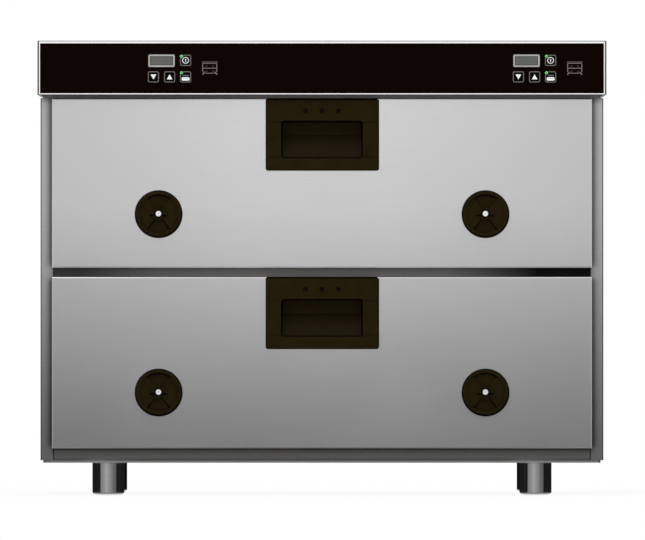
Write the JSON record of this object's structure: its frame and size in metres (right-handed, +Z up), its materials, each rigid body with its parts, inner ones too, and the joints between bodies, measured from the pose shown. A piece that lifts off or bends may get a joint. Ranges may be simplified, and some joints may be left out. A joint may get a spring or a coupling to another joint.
{
  "type": "warming drawer cabinet",
  "caption": "Free-standing insulated stainless warming cabinet: wide full-extension pan drawers, rotary air vents and a control hood with push keys, on levelling feet.",
  "frame": {"origin": "on the floor, under the middle of the whole object's box", "axes": "+X to the right seen from the front, -Y out of the drawers towards the user, +Z up"},
  "size_m": [0.82, 0.662, 0.6555],
  "materials": {
    "stainless": "fine satin brushed",
    "galvanised": "plain sheet",
    "liner_steel": "bright annealed",
    "slide_steel": "plated",
    "hardware": "polished",
    "black_plastic": "satin moulded",
    "glossy_panel": "high gloss",
    "key_black": "gloss",
    "display_window": "smoked window",
    "lamp_green": "clear green",
    "board_green": "lacquered board",
    "power_dark": "moulded",
    "silicone": "matt",
    "mineral_wool": "felted",
    "heater_sheath": "oxidised"
  },
  "bodies": {
    "drawer_upper": {"front_skin_upper": "stainless", "front_liner_upper": "liner_steel", "front_insulation_upper": "mineral_wool", "gasket_upper": "silicone", "handle_upper": "black_plastic", "front_screws_upper": "hardware", "vent_frames_upper": "black_plastic", "slide_runners_upper": "slide_steel", "pan_frame_upper": "liner_steel"},
    "middle_members_upper": {"slide_middles_upper": "slide_steel"},
    "shutter_upper_left": {"vent_shutter_upper_left": "black_plastic"},
    "shutter_upper_right": {"vent_shutter_upper_right": "black_plastic"},
    "drawer_lower": {"front_skin_lower": "stainless", "front_liner_lower": "liner_steel", "front_insulation_lower": "mineral_wool", "gasket_lower": "silicone", "handle_lower": "black_plastic", "front_screws_lower": "hardware", "vent_frames_lower": "black_plastic", "slide_runners_lower": "slide_steel", "pan_frame_lower": "liner_steel"},
    "middle_members_lower": {"slide_middles_lower": "slide_steel"},
    "shutter_lower_left": {"vent_shutter_lower_left": "black_plastic"},
    "shutter_lower_right": {"vent_shutter_lower_right": "black_plastic"},
    "key_down_left": {"key_down_left": "key_black"},
    "key_up_left": {"key_up_left": "key_black"},
    "key_power_left": {"key_power_left": "key_black"},
    "key_drawer_left": {"key_drawer_left": "key_black"},
    "key_down_right": {"key_down_right": "key_black"},
    "key_up_right": {"key_up_right": "key_black"},
    "key_power_right": {"key_power_right": "key_black"},
    "key_drawer_right": {"key_drawer_right": "key_black"},
    "levelling_foot_front_left": {"levelling_foot_front_left": "hardware"},
    "levelling_foot_front_right": {"levelling_foot_front_right": "hardware"},
    "levelling_foot_rear_left": {"levelling_foot_rear_left": "hardware"},
    "levelling_foot_rear_right": {"levelling_foot_rear_right": "hardware"},
    "cabinet": {"base_tray": "stainless", "cable_gland": "black_plastic", "casing_side_left": "stainless", "casing_side_right": "stainless", "chamber_lower": "liner_steel", "chamber_probes": "hardware", "chamber_upper": "liner_steel", "control_boards": "board_green", "control_panel": "glossy_panel", "crown_cover": "stainless", "crown_floor": "stainless", "displays": "display_window", "divider_rail": "stainless", "foot_sleeves": "hardware", "front_sill": "stainless", "heater_lower": "heater_sheath", "heater_upper": "heater_sheath", "insulation": "mineral_wool", "power_parts": "power_dark", "rear_panel": "galvanised", "roof_panel": "galvanised", "slide_channels": "slide_steel", "status_lamps": "lamp_green"}
  },
  "joints": [
    {"name": "drawer_upper_slide", "type": "slide", "parent": "cabinet", "child": "drawer_upper", "axis": [0, -1, 0], "range_m": [0, 0.54]},
    {"name": "middle_members_upper_slide", "type": "slide", "parent": "cabinet", "child": "middle_members_upper", "axis": [0, -1, 0], "range_m": [0, 0.27]},
    {"name": "vent_upper_left_turn", "type": "hinge", "parent": "drawer_upper", "child": "shutter_upper_left", "pos_m": [-0.2356, -0.322, 0.4062], "axis": [0, -1, 0], "range_deg": [0, 90]},
    {"name": "vent_upper_right_turn", "type": "hinge", "parent": "drawer_upper", "child": "shutter_upper_right", "pos_m": [0.2356, -0.322, 0.4062], "axis": [0, -1, 0], "range_deg": [0, 90]},
    {"name": "drawer_lower_slide", "type": "slide", "parent": "cabinet", "child": "drawer_lower", "axis": [0, -1, 0], "range_m": [0, 0.54]},
    {"name": "middle_members_lower_slide", "type": "slide", "parent": "cabinet", "child": "middle_members_lower", "axis": [0, -1, 0], "range_m": [0, 0.27]},
    {"name": "vent_lower_left_turn", "type": "hinge", "parent": "drawer_lower", "child": "shutter_lower_left", "pos_m": [-0.2356, -0.322, 0.1491], "axis": [0, -1, 0], "range_deg": [0, 90]},
    {"name": "vent_lower_right_turn", "type": "hinge", "parent": "drawer_lower", "child": "shutter_lower_right", "pos_m": [0.2356, -0.322, 0.1491], "axis": [0, -1, 0], "range_deg": [0, 90]},
    {"name": "key_down_left_press", "type": "slide", "parent": "cabinet", "child": "key_down_left", "axis": [0, 1, 0], "range_m": [0, 0.0005], "stiffness_N_per_m": 800, "springref_m": -0.0005},
    {"name": "key_up_left_press", "type": "slide", "parent": "cabinet", "child": "key_up_left", "axis": [0, 1, 0], "range_m": [0, 0.0005], "stiffness_N_per_m": 800, "springref_m": -0.0005},
    {"name": "key_power_left_press", "type": "slide", "parent": "cabinet", "child": "key_power_left", "axis": [0, 1, 0], "range_m": [0, 0.0005], "stiffness_N_per_m": 800, "springref_m": -0.0005},
    {"name": "key_drawer_left_press", "type": "slide", "parent": "cabinet", "child": "key_drawer_left", "axis": [0, 1, 0], "range_m": [0, 0.0005], "stiffness_N_per_m": 800, "springref_m": -0.0005},
    {"name": "key_down_right_press", "type": "slide", "parent": "cabinet", "child": "key_down_right", "axis": [0, 1, 0], "range_m": [0, 0.0005], "stiffness_N_per_m": 800, "springref_m": -0.0005},
    {"name": "key_up_right_press", "type": "slide", "parent": "cabinet", "child": "key_up_right", "axis": [0, 1, 0], "range_m": [0, 0.0005], "stiffness_N_per_m": 800, "springref_m": -0.0005},
    {"name": "key_power_right_press", "type": "slide", "parent": "cabinet", "child": "key_power_right", "axis": [0, 1, 0], "range_m": [0, 0.0005], "stiffness_N_per_m": 800, "springref_m": -0.0005},
    {"name": "key_drawer_right_press", "type": "slide", "parent": "cabinet", "child": "key_drawer_right", "axis": [0, 1, 0], "range_m": [0, 0.0005], "stiffness_N_per_m": 800, "springref_m": -0.0005},
    {"name": "levelling_foot_front_left_height", "type": "slide", "parent": "cabinet", "child": "levelling_foot_front_left", "axis": [0, 0, -1], "range_m": [0, 0.025]},
    {"name": "levelling_foot_front_right_height", "type": "slide", "parent": "cabinet", "child": "levelling_foot_front_right", "axis": [0, 0, -1], "range_m": [0, 0.025]},
    {"name": "levelling_foot_rear_left_height", "type": "slide", "parent": "cabinet", "child": "levelling_foot_rear_left", "axis": [0, 0, -1], "range_m": [0, 0.025]},
    {"name": "levelling_foot_rear_right_height", "type": "slide", "parent": "cabinet", "child": "levelling_foot_rear_right", "axis": [0, 0, -1], "range_m": [0, 0.025]}
  ],
  "couplings": [
    {"joint": "middle_members_upper_slide", "follows": "drawer_upper_slide", "ratio": 0.5},
    {"joint": "middle_members_lower_slide", "follows": "drawer_lower_slide", "ratio": 0.5}
  ]
}
